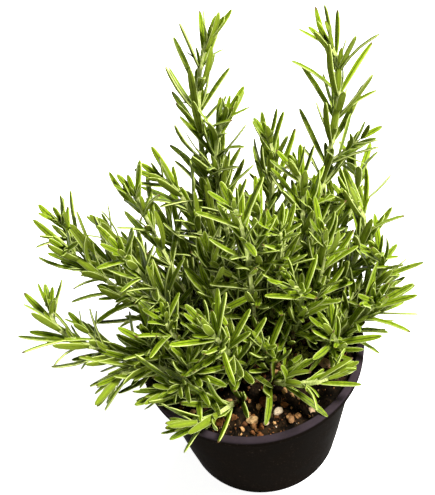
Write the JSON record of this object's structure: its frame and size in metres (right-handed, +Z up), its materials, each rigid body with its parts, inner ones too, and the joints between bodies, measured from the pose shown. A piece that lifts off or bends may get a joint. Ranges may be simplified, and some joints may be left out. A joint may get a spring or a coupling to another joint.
{
  "type": "potted rosemary plant",
  "caption": "Bushy rosemary herb with upright and trailing leafy shoots, rooted in dark gritty soil in a round tapering black plastic nursery pot that stands on its flat base.",
  "frame": {"origin": "centre of the pot's underside", "axes": "+Z up along the pot's axis; -Y is the side the plant is seen from, and the tall shoots lean back towards +Y"},
  "size_m": [0.2046, 0.155, 0.2546],
  "materials": {
    "pot_plastic": "dark, slightly shiny moulded plastic, greyer and scuffed on the rim",
    "potting_mix": "moist, crumbly peat and bark mix",
    "grit_stone": "matt tan, rusty and pinkish stones",
    "bark_chip": "rough orange-brown bark",
    "rosemary_leaf": "narrow evergreen leaves, yellow-green and satin above, pale beneath",
    "rosemary_stem": "pale green young stem, brown and woody low down"
  },
  "bodies": {
    "root": {"pot": "pot_plastic", "soil": "potting_mix", "grit_tan": "grit_stone", "grit_orange": "grit_stone", "grit_pale_front": "grit_stone", "grit_small_front": "grit_stone", "grit_rusty": "grit_stone", "grit_light": "grit_stone", "grit_right": "grit_stone", "grit_pink": "grit_stone", "bark_left": "bark_chip", "bark_left_low": "bark_chip", "bark_back": "bark_chip", "bark_right": "bark_chip", "shoot_tall_left": "rosemary_leaf", "shoot_tall_right": "rosemary_leaf", "shoot_centre_front": "rosemary_leaf", "shoot_facing": "rosemary_leaf", "shoot_over_soil": "rosemary_leaf", "shoot_over_front_rim": "rosemary_leaf", "shoot_over_left_rim": "rosemary_leaf", "shoot_rim_left": "rosemary_leaf", "shoot_left_low": "rosemary_leaf", "shoot_left_high": "rosemary_leaf", "shoot_left_front": "rosemary_leaf", "shoot_left_mid": "rosemary_leaf", "shoot_upper_left": "rosemary_leaf", "shoot_left_inner": "rosemary_leaf", "shoot_middle_back": "rosemary_leaf", "shoot_middle_right": "rosemary_leaf", "shoot_middle": "rosemary_leaf", "shoot_middle_left": "rosemary_leaf", "shoot_middle_inner": "rosemary_leaf", "shoot_middle_low": "rosemary_leaf", "shoot_centre_low": "rosemary_leaf", "shoot_front_low": "rosemary_leaf", "shoot_right_front": "rosemary_leaf", "shoot_right_inner": "rosemary_leaf", "shoot_right_mid": "rosemary_leaf", "shoot_right_high": "rosemary_leaf", "shoot_right_out": "rosemary_leaf", "shoot_right_low": "rosemary_leaf", "shoot_right_rim": "rosemary_leaf", "shoot_right_outer": "rosemary_leaf", "shoot_left_droop": "rosemary_leaf", "shoot_left_base": "rosemary_leaf", "shoot_left_corner": "rosemary_leaf", "shoot_left_shadow": "rosemary_leaf", "shoot_back_left": "rosemary_leaf", "shoot_back_inner": "rosemary_leaf", "shoot_back_far_left": "rosemary_leaf", "shoot_back_right": "rosemary_leaf"}
  },
  "joints": []
}
